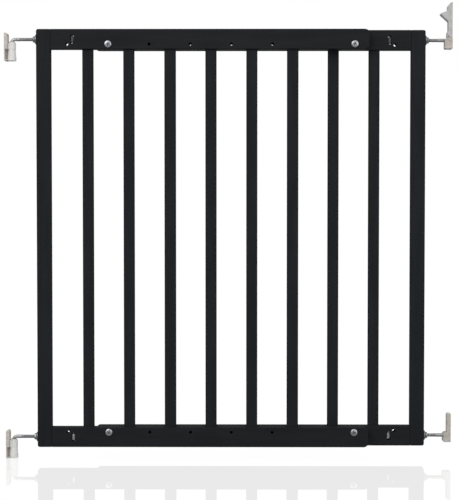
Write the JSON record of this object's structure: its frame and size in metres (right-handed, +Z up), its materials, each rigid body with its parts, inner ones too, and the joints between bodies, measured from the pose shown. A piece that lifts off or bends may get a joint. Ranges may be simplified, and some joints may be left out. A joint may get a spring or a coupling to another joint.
{
  "type": "extending safety baby gate",
  "caption": "Black slatted wooden safety gate in two bolted half frames, hung on L-shaped screw pins and closed in wall cups with a lock slider.",
  "frame": {"origin": "centre of the lower hinge fitting's back face, on the hinge wall", "axes": "+X along the gate to the closing wall, +Y from the front half frame to the rear one, +Z up"},
  "size_m": [0.7711, 0.0423, 0.7872],
  "materials": {
    "black_lacquer": "black lacquer on beech, satin, with a faint grain",
    "bare_beech": "bare turned beech dowel",
    "zinc_plate": "bright zinc-plated steel",
    "ivory_plastic": "ivory moulded nylon, slightly translucent",
    "white_plastic": "off-white moulded nylon",
    "grey_plastic": "light grey moulded plastic"
  },
  "bodies": {
    "wall_fittings": {"hinge_cup_lower": "ivory_plastic", "hinge_cup_upper": "ivory_plastic", "closing_cup_lower": "ivory_plastic", "closing_cup_upper": "ivory_plastic"},
    "hinge_bushes": {"hinge_bush_lower": "white_plastic", "hinge_bush_upper": "white_plastic"},
    "hinge_pins": {"hinge_pin_lower": "zinc_plate", "hinge_pin_upper": "zinc_plate"},
    "gate_frame": {"front_stile": "black_lacquer", "front_bottom_rail": "black_lacquer", "front_top_rail": "black_lacquer", "front_bar_1": "black_lacquer", "front_bar_2": "black_lacquer", "front_bar_3": "black_lacquer", "front_bar_4": "black_lacquer", "front_bar_5": "black_lacquer", "front_bar_6": "black_lacquer", "rear_stile": "black_lacquer", "rear_bottom_rail": "black_lacquer", "rear_top_rail": "black_lacquer", "rear_bar_1": "black_lacquer", "rear_bar_2": "black_lacquer", "rear_bar_3": "black_lacquer", "rear_bar_4": "black_lacquer", "rear_bar_5": "black_lacquer", "rear_bar_6": "black_lacquer", "front_bottom_dowel_low": "bare_beech", "front_bottom_dowel_high": "bare_beech", "front_top_dowel_low": "bare_beech", "front_top_dowel_high": "bare_beech", "rear_bottom_dowel_low": "bare_beech", "rear_bottom_dowel_high": "bare_beech", "rear_top_dowel_low": "bare_beech", "rear_top_dowel_high": "bare_beech", "front_bottom_slot_nut": "zinc_plate", "front_top_slot_nut": "zinc_plate", "rear_bottom_slot_nut": "zinc_plate", "rear_top_slot_nut": "zinc_plate", "front_bottom_flange_nut": "zinc_plate", "front_top_flange_nut": "zinc_plate", "rear_bottom_flange_nut": "zinc_plate", "rear_top_flange_nut": "zinc_plate", "connector_screw_bottom_hinge_side": "zinc_plate", "connector_screw_bottom_closing_side": "zinc_plate", "connector_screw_top_hinge_side": "zinc_plate", "connector_screw_top_closing_side": "zinc_plate", "connector_sleeve_bottom_hinge_side": "zinc_plate", "connector_sleeve_bottom_closing_side": "zinc_plate", "connector_sleeve_top_hinge_side": "zinc_plate", "connector_sleeve_top_closing_side": "zinc_plate"},
    "lower_closing_pin": {"closing_pin_lower": "zinc_plate"},
    "upper_closing_pin": {"closing_pin_upper": "zinc_plate"},
    "lock": {"lock_slider": "grey_plastic"}
  },
  "joints": [
    {"name": "gate_swing", "type": "hinge", "parent": "wall_fittings", "child": "hinge_bushes", "pos_m": [0.0119, 0, 0], "axis": [0, 0, 1], "range_deg": [-90, 80]},
    {"name": "gate_lift", "type": "slide", "parent": "hinge_bushes", "child": "hinge_pins", "axis": [0, 0, 1], "range_m": [0, 0.018]},
    {"name": "hinge_pin_adjust", "type": "slide", "parent": "hinge_pins", "child": "gate_frame", "axis": [1, 0, 0], "range_m": [-0.015, 0]},
    {"name": "closing_pin_adjust_lower", "type": "slide", "parent": "gate_frame", "child": "lower_closing_pin", "axis": [1, 0, 0], "range_m": [-0.015, 0]},
    {"name": "closing_pin_adjust_upper", "type": "slide", "parent": "gate_frame", "child": "upper_closing_pin", "axis": [1, 0, 0], "range_m": [-0.015, 0]},
    {"name": "lock_slide", "type": "slide", "parent": "wall_fittings", "child": "lock", "axis": [0, 0, 1], "range_m": [0, 0.018]}
  ],
  "couplings": [
    {"joint": "lock_slide", "follows": "gate_lift", "ratio": 1}
  ]
}
